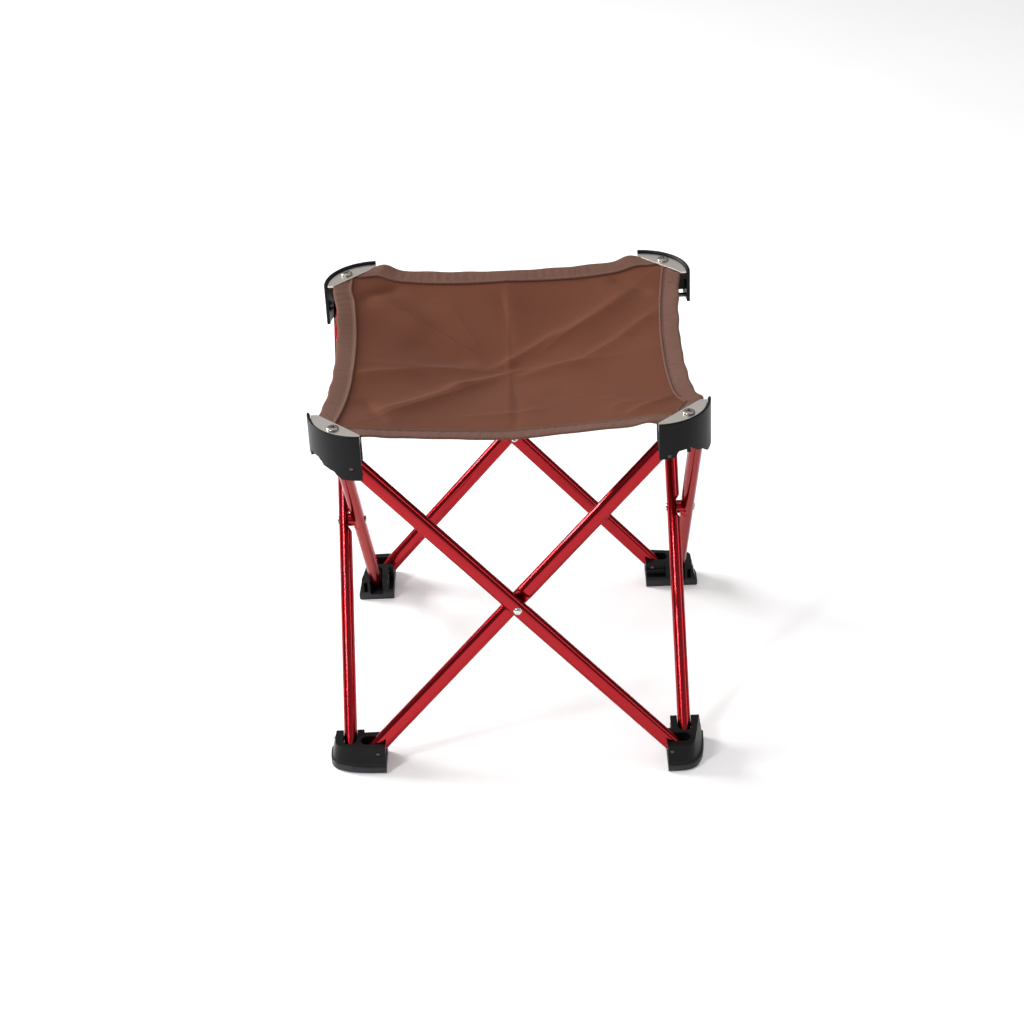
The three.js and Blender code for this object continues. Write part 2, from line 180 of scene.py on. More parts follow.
def rod(name, start, end, radius, sides=20):
    along = Vector(end) - Vector(start)
    return turned(name, [(0, 0), (radius, 0), (radius, along.length), (0, along.length)],
                  start, along, sides)


def carve(body, *cutters, how="DIFFERENCE"):
    for cutter in cutters:
        cut = body.modifiers.new("cut", "BOOLEAN")
        cut.operation, cut.solver, cut.object = how, "EXACT", cutter
        settled(body)
        bpy.data.objects.remove(cutter)
    return body


def softened(piece, width, segments=2, angle=32):
    """Rounds the sharp edges, then shades smooth with normals led by the large faces."""
    work = bmesh.new()
    work.from_mesh(piece.data)
    bmesh.ops.remove_doubles(work, verts=work.verts, dist=2e-5)
    bmesh.ops.dissolve_degenerate(work, edges=work.edges, dist=1e-5)
    bmesh.ops.dissolve_limit(work, angle_limit=math.radians(1), verts=work.verts, edges=work.edges)
    work.to_mesh(piece.data)
    work.free()
    bevel = piece.modifiers.new("bevel", "BEVEL")
    bevel.width, bevel.segments, bevel.limit_method = width, segments, "ANGLE"
    bevel.angle_limit, bevel.use_clamp_overlap = math.radians(angle), True
    settled(piece)
    for polygon in piece.data.polygons:
        polygon.use_smooth = True
    weigh = piece.modifiers.new("weigh", "WEIGHTED_NORMAL")
    weigh.keep_sharp, weigh.weight = True, 60
    return settled(piece)


def smooth(piece, angle=35):
    """Smooth shading that keeps edges sharper than the angle."""
    work = bmesh.new()
    work.from_mesh(piece.data)
    for face in work.faces:
        face.smooth = True
    for edge in work.edges:
        edge.smooth = len(edge.link_faces) == 2 and edge.calc_face_angle(0) < math.radians(angle)
    work.to_mesh(piece.data)
    work.free()
    return piece


def in_corner(u, v, z):
    """A point given in millimetres from the front-left corner's closing axis."""
    return (u * MM - CLOSING, v * MM - CLOSING, z)


# %% [markdown]
# ## Finishes
# Each finish is a node material on Object coordinates or on the piece's own UV map, so that it
# stays on the piece when the stool folds. Numbers that are the same all over a surface are set on
# the shader itself. Only what varies is wired.

# %% Material helpers
def finish(name, **sockets):
    material = bpy.data.materials.new(name)
    material.use_nodes = True
    shader = material.node_tree.nodes["Principled BSDF"]
    for key, value in sockets.items():
        shader.inputs[key.replace("_", " ")].default_value = value
    return material, material.node_tree, shader


def node(tree, kind, inputs=(), **settings):
    made = tree.nodes.new(kind)
    for key, value in settings.items():
        setattr(made, key, value)
    for key, value in dict(inputs).items():
        if isinstance(value, bpy.types.NodeSocket):
            tree.links.new(value, made.inputs[key])
        else:
            made.inputs[key].default_value = value
    return made


def ramp(tree, factor, stops):
    made = node(tree, "ShaderNodeValToRGB", {0: factor})
    elements = made.color_ramp.elements
    while len(elements) < len(stops):
        elements.new(0.5)
    for element, (position, colour) in zip(elements, stops):
        element.position, element.color = position, (*colour, 1)
    return made.outputs["Color"]


def grain(tree, space, scale, detail=3.0, stretch=(1, 1, 1), rough=0.55):
    place = tree.nodes.new("ShaderNodeTexCoord").outputs[space]
    mapped = node(tree, "ShaderNodeMapping", {"Vector": place, "Scale": stretch})
    return node(tree, "ShaderNodeTexNoise", {
        "Vector": mapped.outputs[0], "Scale": scale, "Detail": detail, "Roughness": rough}).outputs["Fac"]


def coloured(tree, shader, factor, stops):
    tree.links.new(ramp(tree, factor, stops), shader.inputs["Base Color"])


def roughened(tree, shader, value, low, high, start=0.0, end=1.0):
    """Roughness that runs from low to high as the value runs from start to end."""
    spread = node(tree, "ShaderNodeMapRange", {
        "Value": value, "From Min": start, "From Max": end, "To Min": low, "To Max": high})
    tree.links.new(spread.outputs[0], shader.inputs["Roughness"])


def sum_of(tree, first, second, how="ADD"):
    return node(tree, "ShaderNodeMath", {0: first, 1: second}, operation=how).outputs[0]


def bumped(tree, shader, height, distance, strength=1.0):
    made = node(tree, "ShaderNodeBump", {"Height": height, "Distance": distance, "Strength": strength})
    tree.links.new(made.outputs[0], shader.inputs["Normal"])


# %% [markdown]
# ### Red anodised tube
# The legs are extruded aluminium, polished, dyed red and sealed. The metal colours its reflections
# red and the sealed skin adds a thin white gloss. Fine draw lines run along each tube, so this
# finish reads the tube's UV map, whose V runs along the length.

# %% Red anodised tube
tube_red, tree, shader = finish("red_anodised_tube", Metallic=1.0, Coat_Weight=0.27,
                                Coat_Roughness=0.05, Specular_Tint=(0.5, 0.16, 0.18, 1))
draw_lines = grain(tree, "UV", 22, 3, (8, 0.05, 1))
coloured(tree, shader, draw_lines, [(0.3, (0.335, 0.0085, 0.0135)), (0.7, (0.39, 0.0125, 0.019))])
roughened(tree, shader, grain(tree, "Object", 160, 6), 0.165, 0.18, 0.3, 0.75)

# %% [markdown]
# ### Black moulded nylon
# Feet and brackets are glass-filled nylon from a spark-eroded mould: almost black, satin, with a
# very fine texture and a few paler rubbed patches. The sole's band is a little paler.

# %% Black moulded nylon
BAND_TOP, BAND_END = 0.0052, 0.0056          # heights over the floor where the sole's band fades
nylon, tree, shader = finish("black_nylon", Specular_IOR_Level=0.17)
rubbed = grain(tree, "Object", 28, 5)
skin = ramp(tree, rubbed, [(0.35, (0.0035, 0.0035, 0.0042)), (0.75, (0.0085, 0.0085, 0.0098))])
height = node(tree, "ShaderNodeSeparateXYZ", {0: tree.nodes.new("ShaderNodeTexCoord").outputs["Object"]})
band = ramp(tree, height.outputs["Z"], [(BAND_TOP, (1, 1, 1)), (BAND_END, (0, 0, 0))])
mixed = node(tree, "ShaderNodeMixRGB", {0: band, 1: skin, 2: (0.034, 0.035, 0.04, 1)})
tree.links.new(mixed.outputs[0], shader.inputs["Base Color"])
roughened(tree, shader, rubbed, 0.36, 0.52, 0.3, 0.8)
bumped(tree, shader, grain(tree, "Object", 2600, 2), 0.00003, 0.6)

# %% [markdown]
# ### Steel
# The clamp plates are nickel-plated sheet with a soft satin. Rivets are bright, plate screws are
# darker and duller, and the hinge pins are coloured dark as painted shade, standing in for the
# shade of pins sunk in their holes. All share one recipe with different numbers.

# %% Steel
def steel(name, scale, stops, smoothest, roughest, detail=3, stretch=(1, 1, 1)):
    material, tree, shader = finish(name, Metallic=1.0)
    specks = grain(tree, "Object", scale, detail, stretch)
    coloured(tree, shader, specks, stops)
    roughened(tree, shader, specks, smoothest, roughest)
    return material, tree, shader, specks


plate_steel, tree, shader, rolled = steel(
    "satin_nickel", 120, [(0.3, (0.74, 0.69, 0.635)), (0.7, (0.82, 0.77, 0.715))], 0.26, 0.38, 4, (1, 7, 1))
bumped(tree, shader, rolled, 0.00001, 0.4)
# The hinge pins' steel is coloured dark as painted shade: it stands in for the shade of pins sunk in their
# holes.
painted_shade_pin_steel = steel("pin_steel_dark_as_painted_shade", 1200,
                   [(0.3, (0.05, 0.042, 0.04)), (0.7, (0.13, 0.11, 0.105))], 0.2, 0.4)[0]
bright_steel = steel("bright_steel", 900,
                     [(0.25, (0.50, 0.47, 0.44)), (0.6, (0.76, 0.74, 0.71))], 0.12, 0.3)[0]
screw_steel = steel("dark_dull_screw_steel", 700,
                    [(0.25, (0.20, 0.185, 0.17)), (0.65, (0.42, 0.395, 0.37))], 0.24, 0.42)[0]

# %% [markdown]
# ### Canvas, binding and thread
# The seat is a plain-woven polyester canvas. Its weave is two crossed sets of waves over the UV
# map, which is the flat cut in decimetres, so threads stay square to the cloth's edges however it
# sags. The binding is a paler ribbed tape. The thread is a plain twisted yarn.

# %% Cloth finishes
BANDS_PER_UNIT = 20 / (2 * math.pi)          # bands that a wave texture of scale 1 lays per unit


def woven(name, colours, across, along, depth, patch=0.5):
    """A woven finish: across and along are threads per metre of cloth in the two directions."""
    material, tree, shader = finish(name, Specular_IOR_Level=0.1, Sheen_Weight=0.03,
                                    Sheen_Roughness=0.5)
    cloth = tree.nodes.new("ShaderNodeTexCoord").outputs["UV"]
    waves = [node(tree, "ShaderNodeTexWave", {
        "Vector": cloth, "Scale": threads / 10 / BANDS_PER_UNIT, "Distortion": 0.6,
        "Detail": 1.0, "Detail Scale": 1.5}, bands_direction=axis).outputs["Fac"]
        for axis, threads in (("X", across), ("Y", along))]
    weave = sum_of(tree, *waves, "MULTIPLY")
    slub = grain(tree, "UV", 90, 4, (1, 1, 1), 0.65)
    wide = sum_of(tree, grain(tree, "Object", 14, 3), patch, "MULTIPLY")
    mixed = sum_of(tree, sum_of(tree, slub, sum_of(tree, weave, 0.45, "MULTIPLY")), wide)
    coloured(tree, shader, mixed, [(0.45, colours[0]), (1.0, colours[1])])
    roughened(tree, shader, slub, 0.78, 0.95)
    bumped(tree, shader, sum_of(tree, weave, slub), depth, 0.7)
    return material


canvas_brown = woven("brown_canvas", [(0.087, 0.0266, 0.0130), (0.148, 0.0500, 0.0268)],
                     1700, 1700, 0.00012)
tape_brown = woven("binding_tape", [(0.098, 0.0455, 0.0325), (0.192, 0.0980, 0.0730)],
                   900, 1500, 0.00018, 0.3)
thread_brown, tree, shader = finish("seat_thread", Roughness=0.7, Sheen_Weight=0.2)
coloured(tree, shader, grain(tree, "Object", 1500, 2),
         [(0.3, (0.10, 0.048, 0.034)), (0.7, (0.19, 0.10, 0.075))])
print("finishes", [m.name for m in bpy.data.materials if m.users or m.use_nodes][-8:])

# %% [markdown]
# ## One tree for everything that repeats
# Every fitting is made once, in the front-left corner or on the front side, and repeated by a
# quarter turn. This Geometry Nodes tree makes the copy: it turns an instance about the stool's
# axis, makes it real and gives it its finish. Each result becomes plain mesh for one body.

# %% Quarter-turn tree
def shape_tree(name, **inputs):
    """A Geometry Nodes tree with the named inputs, and those inputs' sockets."""
    tree = bpy.data.node_groups.new(name, "GeometryNodeTree")
    tree.interface.new_socket("Geometry", in_out="INPUT", socket_type="NodeSocketGeometry")
    made = [tree.interface.new_socket(key.replace("_", " "), in_out="INPUT",
                                      socket_type=f"NodeSocket{kind}") for key, kind in inputs.items()]
    tree.interface.new_socket("Geometry", in_out="OUTPUT", socket_type="NodeSocketGeometry")
    return tree, *made


quarter_tree, turns_input, finish_input = shape_tree("quarter_turn", Quarter_turns="Float",
                                                     Finish="Material")
given = quarter_tree.nodes.new("NodeGroupInput")
angle = node(quarter_tree, "ShaderNodeMath", {0: given.outputs["Quarter turns"], 1: math.pi / 2},
             operation="MULTIPLY")
euler = node(quarter_tree, "ShaderNodeCombineXYZ", {"Z": angle.outputs[0]})
copied = node(quarter_tree, "GeometryNodeGeometryToInstance", {0: given.outputs["Geometry"]})
swung = node(quarter_tree, "GeometryNodeRotateInstances", {"Instances": copied.outputs[0]})
quarter_tree.links.new(euler.outputs[0], swung.inputs["Rotation"])
swung.inputs["Local Space"].default_value = False
real = node(quarter_tree, "GeometryNodeRealizeInstances", {"Geometry": swung.outputs[0]})
painted = node(quarter_tree, "GeometryNodeSetMaterial", {
    "Geometry": real.outputs[0], "Material": given.outputs["Finish"]})
quarter_tree.links.new(painted.outputs[0], quarter_tree.nodes.new("NodeGroupOutput").inputs[0])


def repeated(master, name, quarter, material, body, stands_for=()):
    """A copy of a master piece, a number of quarter turns round, riding on its body."""
    piece = bpy.data.objects.new(name, master.data.copy())
    bpy.context.scene.collection.objects.link(piece)
    turn = piece.modifiers.new("turn", "NODES")
    turn.node_group = quarter_tree
    turn[turns_input.identifier] = float(quarter)
    turn[finish_input.identifier] = material
    settled(piece)
    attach(piece, body)
    if stands_for:
        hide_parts(*stands_for)
    return piece


# %% [markdown]
# ## Leg tubes
# A leg is an extruded oval tube. Where the two legs of a pair cross, the press flattens the faces
# that meet, so that the pair lies close. A tube could be a curve with a profile, but the dimple
# needs mesh, so the tube is made of rings along its length and the rings near the rivet are pushed
# in. The bore shows at the ends.

# %% Leg tubes
TUBE_WIDTH, TUBE_THICK, TUBE_WALL, TUBE_PAST = 12.2 * MM, 9.4 * MM, 1.1 * MM, 6 * MM
DIMPLE_DEPTH, DIMPLE_FLAT, DIMPLE_EDGE = 2.6 * MM, 4.6 * MM, 9.5 * MM
leg_rise, leg_run = PIN_TOP - PIN_FLOOR, 2 * HALF_SPAN
LEG_PINS, LEAN = math.hypot(leg_rise, leg_run), math.atan2(leg_run, leg_rise)
ROUND_STEPS = 11


def oval(width, thick):
    reach, radius, ring = (width - thick) / 2, thick / 2, []
    for end in (0, 1):
        for i in range(ROUND_STEPS + 1):
            a = math.radians(-90 + 180 * i / ROUND_STEPS + 180 * end)
            ring.append(((-reach if end else reach) + radius * math.cos(a), radius * math.sin(a)))
        for share in (0.25, 0.5, 0.75):
            ring.append(((1 - 2 * share) * (-reach if end else reach), (-radius if end else radius)))
    return ring


def leg_tube(name, dimple_side, plane, lean):
    half, chamfer = LEG_PINS / 2 + TUBE_PAST, 0.35 * MM
    near = [i * 0.8 * MM for i in range(-13, 14)]
    far = [12 * MM + (half - chamfer - 12 * MM) * i / 8 for i in range(1, 9)]
    stations = [-z for z in reversed(far)] + near + far
    rings, outline = [], oval(TUBE_WIDTH, TUBE_THICK)
    bore = oval(TUBE_WIDTH - 2 * TUBE_WALL, TUBE_THICK - 2 * TUBE_WALL)
    slim = oval(TUBE_WIDTH - 2 * chamfer, TUBE_THICK - 2 * chamfer)
    depth = half - 20 * MM
    for ring, z in ((bore, -depth), (bore, -half), (slim, -half)):
        rings.append([(x, y, z) for x, y in ring])
    for z in stations:
        ring = []
        for x, y in outline:
            share = (DIMPLE_EDGE - math.hypot(x * 0.75, z)) / (DIMPLE_EDGE - DIMPLE_FLAT)
            share = min(1, max(0, share))
            share = share * share * (3 - 2 * share) if y * dimple_side > 0 else 0
            ring.append((x, y - dimple_side * DIMPLE_DEPTH * share * abs(y) / (TUBE_THICK / 2), z))
        rings.append(ring)
    for ring, z in ((slim, half), (bore, half), (bore, depth)):
        rings.append([(x, y, z) for x, y in ring])
    tube = loft(name, rings)
    lengthwise = tube.data.uv_layers.new(name="lengthwise")
    for loop in tube.data.loops:
        x, y, z = tube.data.vertices[loop.vertex_index].co
        lengthwise.data[loop.index].uv = (math.atan2(y, x) / (2 * math.pi) + 0.5, z * 10)
    middle = (PIN_FLOOR + PIN_TOP) / 2
    tube.data.transform(Matrix.Translation((0, -plane, middle)) @ Matrix.Rotation(lean, 4, "Y"))
    return smooth(tube, 40)


outer_leg = leg_tube("outer_leg", 1, OUTER_OUT, -LEAN)
inner_leg = leg_tube("inner_leg", -1, INNER_OUT, LEAN)
for k, side in enumerate(SIDES):
    repeated(outer_leg, f"outer_leg_{side}", k, tube_red, f"leg_outer_{side}",
             [f"leg_outer_{side}"])
    repeated(inner_leg, f"inner_leg_{side}", k, tube_red, f"leg_inner_{side}",
             [f"leg_inner_{side}"])
print("leg", round(LEG_PINS, 4), "m between pins, leaning", round(math.degrees(LEAN), 2), "degrees")

# %% [markdown]
# ## Rivets and spacers
# A rivet holds each crossed pair, with a domed factory head outside and a rolled head inside. A red
# spacer ring keeps the legs apart. All are lathe shapes.

# %% Rivets and spacers
middle_height = (PIN_FLOOR + PIN_TOP) / 2
outer_face, inner_face = -OUTER_OUT - TUBE_THICK / 2, -INNER_OUT + TUBE_THICK / 2
HEAD, DOME, SHANK = 3.1 * MM, 1.7 * MM, 2 * MM
dome = [(0, -DOME)] + [(HEAD * math.sin(a), -DOME * math.cos(a)) for a in
                       [math.radians(d) for d in (14, 28, 42, 56, 70, 82)]]
rivet_span = inner_face - outer_face
rolled_head = [(HEAD * 0.92, rivet_span + 0.05 * MM), (HEAD * 0.96, rivet_span + 0.5 * MM),
               (HEAD * 0.8, rivet_span + 1.0 * MM), (HEAD * 0.5, rivet_span + 1.15 * MM),
               (HEAD * 0.34, rivet_span + 0.8 * MM), (HEAD * 0.3, rivet_span + 0.3 * MM),
               (0, rivet_span + 0.25 * MM)]
rivet = smooth(turned("rivet", dome + [(HEAD, -0.35 * MM), (HEAD * 0.98, -0.05 * MM), (SHANK, -0.05 * MM),
               (SHANK, rivet_span + 0.05 * MM)] + rolled_head,
               (0, outer_face, middle_height), (0, 1, 0), 28))
spacer_from = -OUTER_OUT + TUBE_THICK / 2 - DIMPLE_DEPTH + 0.1 * MM
spacer_to = -INNER_OUT - TUBE_THICK / 2 + DIMPLE_DEPTH - 0.1 * MM
SPACER_RADIUS, SPACER_HOLE = 4.9 * MM, 2.2 * MM
spacer = carve(rod("spacer", (0, spacer_from, middle_height), (0, spacer_to, middle_height),
                   SPACER_RADIUS, 40),
               rod("hole", (0, spacer_from - MM, middle_height), (0, spacer_to + MM, middle_height),
                   SPACER_HOLE, 24))
softened(spacer, 0.3 * MM)
for k, side in enumerate(SIDES):
    repeated(rivet, f"rivet_head_{side}", k, bright_steel, f"leg_outer_{side}",
             [f"rivet_{side}"])
    repeated(spacer, f"spacer_ring_{side}", k, tube_red, f"leg_outer_{side}",
             [f"spacer_{side}"])

# %% [markdown]
# ## Feet
# A foot is an L-shaped block on a wider sole. Each arm has a slot with a round blind end for a leg.
# Its walls are drafted so that it leaves the mould, a groove runs above the sole, and the inner
# faces are cored out. It is lofted from outlines, cut with booleans and softened.

# %% Foot
CUT = 0.6                     # the fittings stop short of the planes where they meet when folded
FACE_U, FACE_V = 2.0, 4.4     # how far short of those planes the foot's own faces lie
SLOT = 10.2                   # width of a leg slot
PLANE_OUT, PLANE_IN = (OUTER_OUT - CLOSING) / MM, (INNER_OUT - CLOSING) / MM


def rounded(points, radius, steps=5):
    """An outline with its corners rounded; a corner given as (u, v, r) has its own radius."""
    made = []
    for i, point in enumerate(points):
        p = Vector(point[:2])
        r = point[2] if len(point) > 2 else radius
        a, b = Vector(points[i - 1][:2]) - p, Vector(points[(i + 1) % len(points)][:2]) - p
        if r <= 0:
            made.append(tuple(p))
            continue
        cut = min(r, a.length * 0.48, b.length * 0.48)
        start, end = p + a.normalized() * cut, p + b.normalized() * cut
        for j in range(steps + 1):
            t = j / steps
            made.append(tuple(start * (1 - t) ** 2 + p * 2 * t * (1 - t) + end * t * t))
    return made


def slot_outline(blind, opening, middle, along):
    half, points = SLOT / 2, []
    for i in range(13):
        a = math.radians(90 + 15 * i)
        points.append((blind + half + half * math.cos(a), middle + half * math.sin(a)))
    points += [(opening, middle - half), (opening, middle + half)]
    return [in_corner(*p, 0)[:2] for p in (points if along == "u" else [(b, a) for a, b in points])]


def level(outline, z):
    return [in_corner(u, v, z * MM) for u, v in outline]


SOLE = [(-43.7, -CUT), (-43.7, -13, 9), (-43, -20, 5), (-39.6, -25.6, 5), (-30, -30.2, 8),
        (-17, -32.2, 8), (-CUT, -32.7)]


def grown(outline, by):
    """Moves an outline's outer walls outwards; the faces on the closing planes stay."""
    return [(min(u - by if u < -2 else u, -CUT), min(v - by if v < -2 else v, -CUT), *rest)
            for u, v, *rest in outline]


CROWN = [(-39, -CUT), (-39.3, -13, 6), (-39, -21.2, 3), (-35.4, -24, 4), (-28, -25.6, 8),
         (-14, -27.8, 8), (-CUT, -29.7)]


def foot_ring(outline, z):
    """The outline, closed along the foot's two inner faces."""
    ring = [(-FACE_U, -FACE_V)] + rounded([(*p[:2], p[2] if len(p) > 2 else 0) for p in outline], 0, 6)
    return level([(min(u, -FACE_U), min(v, -FACE_V)) for u, v in ring], z)


foot = loft("foot", [foot_ring(grown(SOLE, -0.9), 0), foot_ring(SOLE, 0.9), foot_ring(SOLE, 5.2),
                     foot_ring(grown(SOLE, -0.4), 5.7), foot_ring(grown(SOLE, -1.2), 5.8),
                     foot_ring(grown(SOLE, -1.2), 6.4), foot_ring(CROWN, foot_high / MM)])
top = foot_high + 10 * MM
carve(foot,
      block("web", in_corner(-18.2, -8.2, 9 * MM), in_corner(2, 2, top)),
      prism("slot_u", slot_outline(-20.4, 3, -PLANE_IN, "u"), 4.5 * MM, top),
      prism("slot_v", slot_outline(-22.3, 3, -PLANE_OUT, "v"), 4.5 * MM, top),
      block("core_v", in_corner(-38.4, -12, 7 * MM), in_corner(-35.6, 2, 15.5 * MM)),
      block("core_u", in_corner(-12, -28.4, 7 * MM), in_corner(2, -25.5, 16 * MM)),
      rod("pin_u", in_corner(-50, -PIN_BACK / MM, PIN_FLOOR),
          in_corner(1, -PIN_BACK / MM, PIN_FLOOR), 1.8 * MM),
      rod("pin_v", in_corner(-PIN_BACK / MM, -50, PIN_FLOOR),
          in_corner(-PIN_BACK / MM, 1, PIN_FLOOR), 1.8 * MM))
softened(foot, 0.9 * MM, 3)
for k, corner in enumerate(CORNERS):
    repeated(foot, f"moulded_foot_{corner}", k, nylon, f"foot_{corner}", [f"foot_{corner}"])
print("foot faces", len(foot.data.polygons))

# %% [markdown]
# ## Corner brackets
# A bracket is a quarter-round wall round a shelf. The wall drops into a deep lug at one end and a
# short one at the other, each with a hinge pin through it. The canvas and its clamp plate lie on
# the shelf, below the wall's thin rim.

# %% Bracket wall
RING_OUT, RING_IN = 38.5, 36.1
SHELF_LOW, SHELF_TOP = 279 * MM, 282.4 * MM
PLATE_CHORD = 22.4
CONTOUR = [(180, 260), (197.5, 260), (202, 264.6), (216, 264.6), (221, 262.6), (226, 259.9), (237, 258.2),
           (243.5, 254.8), (247.5, 253), (270, 253)]


def wall_low(degrees):
    """The height of the wall's lower edge, with rounded steps."""
    for (a0, z0), (a1, z1) in zip(CONTOUR, CONTOUR[1:]):
        if degrees <= a1:
            t = (degrees - a0) / (a1 - a0)
            return (z0 + (z1 - z0) * t * t * (3 - 2 * t)) * MM
    return CONTOUR[-1][1] * MM


def around(radius, degrees, z):
    a = math.radians(degrees)
    return in_corner(radius * math.cos(a), radius * math.sin(a), z)


first, last = 180 + math.degrees(CUT / RING_IN), 270 - math.degrees(CUT / RING_IN)
steps = [first + (last - first) * i / 72 for i in range(73)]
# The wall's section, as radius and height: under the rim first, then over the low edge.
UNDER_RIM = [(RING_IN, 1.4), (RING_IN + 0.6, 0.5), (RING_IN + 1.2, 0), (RING_OUT - 0.8, 0),
             (RING_OUT - 0.3, 0.25), (RING_OUT, 0.9)]
OVER_EDGE = [(RING_OUT, 0.7), (RING_OUT - 0.2, 0.2), (RING_OUT - 0.7, 0), (RING_IN + 0.3, 0)]
bracket = loft("bracket", [[
    around(RING_IN, a, wall_low(a) + 0.3 * MM), *(around(r, a, rim - drop * MM) for r, drop in UNDER_RIM),
    *(around(r, a, wall_low(a) + rise * MM) for r, rise in OVER_EDGE)] for a in steps])

# %% [markdown]
# The shelf and the lugs are joined to the wall, and then a sloping wedge clears everything on the
# seat's side of the plate, so that the canvas passes over the bracket and not through it.

# %% Bracket shelf and lugs
line = -(PLATE_CHORD - 2) * math.sqrt(2)
shelf = prism("shelf", [in_corner((RING_IN + 0.6) * math.cos(math.radians(a)),
                                  (RING_IN + 0.6) * math.sin(math.radians(a)), 0)[:2]
                        for a in [first + 0.2 + (last - first - 0.4) * i / 30 for i in range(31)]]
              + [in_corner(-CUT, line + CUT, 0)[:2], in_corner(line + CUT, -CUT, 0)[:2]],
              SHELF_LOW, SHELF_TOP)
lug_top = SHELF_TOP - 0.4 * MM
half_slot = SLOT / 2
lugs = [((-17, -PLANE_OUT + half_slot, 253.2), (-CUT, -PLANE_OUT + half_slot + 2.6, 0)),
        ((-PLANE_IN - half_slot - 2.6, -17, 260.2), (-PLANE_IN - half_slot, -CUT, 0)),
        ((-PLANE_IN + half_slot, -17, 256), (-PLANE_IN + half_slot + 2.6, -CUT, 0)),
        ((-PLANE_IN - half_slot - 2.6, -20, 262), (-PLANE_IN + half_slot + 2.6, -16.4, 0)),
        ((-28, -12, 266), (-24.6, -9, 0)), ((-35.9, -12, 266), (-25, -9.6, 0))]
carve(bracket, shelf, *[block("lug", in_corner(a[0], a[1], a[2] * MM), in_corner(b[0], b[1], lug_top))
                        for a, b in lugs], how="UNION")
edge = -PLATE_CHORD * math.sqrt(2)
wedge = loft("wedge", [
    [in_corner(edge + 60, -60, 281.6 * MM), in_corner(40, 24, 270.5 * MM), in_corner(40, 24, 0.3),
     in_corner(edge + 60, -60, 0.3)],
    [in_corner(-60, edge + 60, 281.6 * MM), in_corner(24, 40, 270.5 * MM), in_corner(24, 40, 0.3),
     in_corner(-60, edge + 60, 0.3)]])
SCREW_U, SCREW_V = -19.4, -22.0
back_pin = -PIN_BACK / MM
carve(bracket, wedge,
      rod("pin_v", in_corner(back_pin, -50, PIN_TOP), in_corner(back_pin, -18, PIN_TOP), 1.8 * MM, 28),
      rod("pin_u", in_corner(-50, back_pin, PIN_TOP), in_corner(-5, back_pin, PIN_TOP), 1.8 * MM, 28),
      rod("screw", in_corner(SCREW_U, SCREW_V, 0.27), in_corner(SCREW_U, SCREW_V, 0.29), 2.3 * MM))
softened(bracket, 0.4 * MM, 2, 40)
for k, corner in enumerate(CORNERS):
    repeated(bracket, f"moulded_bracket_{corner}", k, nylon, f"bracket_{corner}",
             [f"bracket_{corner}"])
print("bracket faces", len(bracket.data.polygons))

# %% [markdown]
# ## Clamp plates and screws
# A plate is stamped from 1.5 mm steel: part of a disc, with a straight edge towards the seat and
# rolled-over edges. Its pan-head screw has a cross recess, cut with two tapered wedges.

# %% Clamp plate
PLATE_R = 35.8
arc_points = [(PLATE_R * math.cos(math.radians(a)), PLATE_R * math.sin(math.radians(a)))
              for a in [180.98 + (269.02 - 180.98) * i / 60 for i in range(61)]]
chord_line = edge
arc_points = [(u, v) for u, v in arc_points if u + v < chord_line]
plate_outline = arc_points + [(-CUT, chord_line + CUT), (chord_line + CUT, -CUT)]
plate = prism("plate", [in_corner(u, v, 0)[:2] for u, v in plate_outline], plate_low.z, plate_high.z)
carve(plate, rod("hole", in_corner(SCREW_U, SCREW_V, 0.27), in_corner(SCREW_U, SCREW_V, 0.3), 2.3 * MM))
softened(plate, 0.35 * MM, 3)

# %% Plate screw
PAN = 4.3
pan = [(0, -9), (1.4, -9), (1.9, -8.4), (1.9, 0.02), (PAN - 0.25, 0.02), (PAN, 0.25), (PAN, 0.75),
       (PAN * 0.96, 1.15), (PAN * 0.86, 1.55), (PAN * 0.68, 1.88), (PAN * 0.45, 2.06),
       (PAN * 0.2, 2.12), (0, 2.13)]
screw = turned("screw", [(r * MM, h * MM) for r, h in pan],
               in_corner(SCREW_U, SCREW_V, plate_high.z), (0, 0, 1), 40)
for turn in (30, 120):
    wing = block("wing", (-2.9 * MM, -0.75 * MM, 0.3 * MM), (2.9 * MM, 0.75 * MM, 4 * MM))
    for vertex in wing.data.vertices:
        if vertex.co.z < MM:
            vertex.co.x *= 0.45
    wing.data.transform(Matrix.Translation(in_corner(SCREW_U, SCREW_V, plate_high.z))
                        @ Matrix.Rotation(math.radians(turn), 4, "Z"))
    carve(screw, wing)
softened(screw, 0.12 * MM, 2)
for k, corner in enumerate(CORNERS):
    repeated(plate, f"steel_plate_{corner}", k, plate_steel, f"bracket_{corner}",
             [f"clamp_plate_{corner}"])
    repeated(screw, f"pan_screw_{corner}", k, screw_steel, f"bracket_{corner}",
             [f"plate_screw_{corner}"])

# %% [markdown]
# ## Hinge pins
# Each pin ends in a low dome, flush in its hole in the moulding. The shank runs through the leg.

# %% Hinge pins
def hinge_pin(name, start, end):
    start, end = Vector(in_corner(*start)), Vector(in_corner(*end))
    length = (end - start).length
    head = [(0, -0.15), (0.7, -0.1), (1.2, 0.05), (1.55, 0.35), (1.65, 0.8)]
    end_face = [(1.65 * MM, length - 0.4 * MM), (1.1 * MM, length), (0, length)]
    profile = [(r * MM, h * MM) for r, h in head] + end_face
    return smooth(turned(name, profile, start, end - start, 24))


